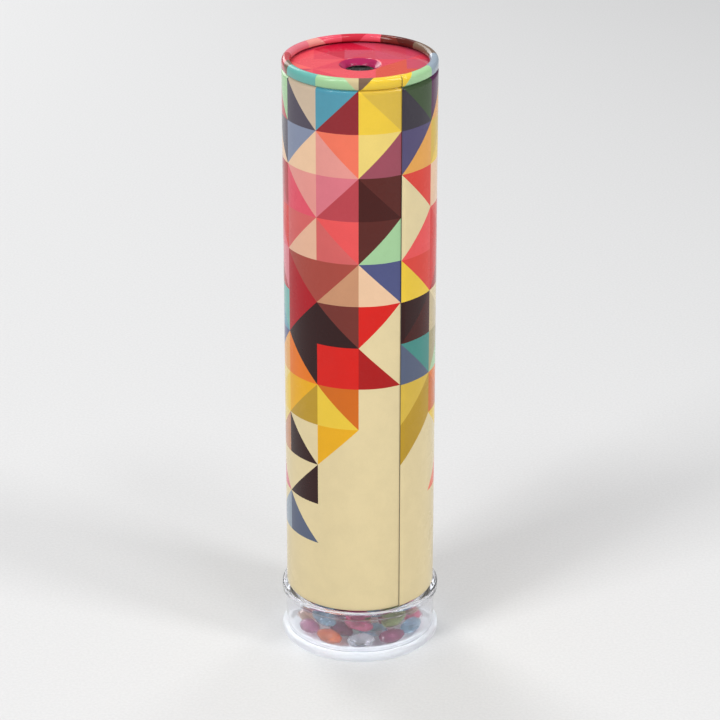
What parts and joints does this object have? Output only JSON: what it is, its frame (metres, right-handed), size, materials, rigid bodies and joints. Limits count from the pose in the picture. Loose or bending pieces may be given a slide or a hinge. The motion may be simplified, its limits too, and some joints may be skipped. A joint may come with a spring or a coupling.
{
  "type": "tin kaleidoscope",
  "caption": "Hand-held tin kaleidoscope: printed tube, eyepiece cap with a funnel eye hole, mirror prism, and a clear turning drum of loose tinted gems at the far end.",
  "frame": {"origin": "centre of the lid's underside, where the toy stands", "axes": "+Z along the tube towards the eyepiece; -Y is the side that faces a viewer in front; the tube's lap seam is 32 degrees round from -Y towards +X"},
  "size_m": [0.048, 0.048, 0.185],
  "materials": {
    "printed_tin": "tinplate printed all over with a mosaic of triangles in red, coral, maroon, navy, mustard, cream, mint and orange, under clear gloss lacquer",
    "pink_tin": "tinplate printed in close shades of coral, rose and magenta, gloss lacquer",
    "window_plastic": "clear polished acrylic",
    "clear_plastic": "clear injection moulded polystyrene",
    "frosted_plastic": "translucent frosted polystyrene",
    "white_plastic": "plain moulded white plastic",
    "grey_card": "uncoated grey board",
    "mirror": "silvered strip, mirror face towards the axis",
    "foam": "soft dark packing foam",
    "gem_pink": "translucent tinted acrylic, cut and polished",
    "gem_mauve": "translucent tinted acrylic, cut and polished",
    "gem_plum": "translucent tinted acrylic, cut and polished",
    "gem_olive": "translucent tinted acrylic, cut and polished",
    "gem_amber": "translucent tinted acrylic, cut and polished",
    "gem_blue": "translucent tinted acrylic, cut and polished",
    "gem_peach": "translucent tinted acrylic, cut and polished",
    "gem_ice": "translucent tinted acrylic, cut and polished"
  },
  "bodies": {
    "tube": {"tube_body": "printed_tin", "eyepiece_cap": "pink_tin", "eye_window": "window_plastic", "mirror_stop_washer": "grey_card", "drum_bush": "white_plastic", "mirror_1": "mirror", "mirror_2": "mirror", "mirror_3": "mirror", "foam_pad_1": "foam", "foam_pad_2": "foam", "foam_pad_3": "foam"},
    "drum": {"gem_drum": "clear_plastic", "drum_lid": "frosted_plastic"},
    "gem_bed": {"gem_01_peach": "gem_peach", "gem_02_mauve": "gem_mauve", "gem_03_amber": "gem_amber", "gem_04_ice": "gem_ice", "gem_05_plum": "gem_plum", "gem_06_blue": "gem_blue", "gem_07_pink": "gem_pink", "gem_08_olive": "gem_olive", "gem_09_peach": "gem_peach", "gem_10_mauve": "gem_mauve", "gem_11_amber": "gem_amber", "gem_12_ice": "gem_ice", "gem_13_plum": "gem_plum", "gem_14_blue": "gem_blue", "gem_15_pink": "gem_pink", "gem_16_olive": "gem_olive"},
    "loose_gems": {"loose_gem_01_amber": "gem_amber", "loose_gem_02_ice": "gem_ice", "loose_gem_03_plum": "gem_plum", "loose_gem_04_blue": "gem_blue", "loose_gem_05_pink": "gem_pink", "loose_gem_06_olive": "gem_olive", "loose_gem_07_peach": "gem_peach", "loose_gem_08_mauve": "gem_mauve", "loose_gem_09_amber": "gem_amber", "loose_gem_10_ice": "gem_ice", "loose_gem_11_plum": "gem_plum"}
  },
  "joints": [
    {"name": "drum_spin", "type": "hinge", "parent": "tube", "child": "drum", "pos_m": [0, 0, 0], "axis": [0, 0, 1], "continuous": true},
    {"name": "gem_slip", "type": "hinge", "parent": "drum", "child": "gem_bed", "pos_m": [0, 0, 0], "axis": [0, 0, 1], "continuous": true},
    {"name": "gem_fall", "type": "slide", "parent": "gem_bed", "child": "loose_gems", "axis": [0, 0, 1], "range_m": [0, 0.003]}
  ]
}
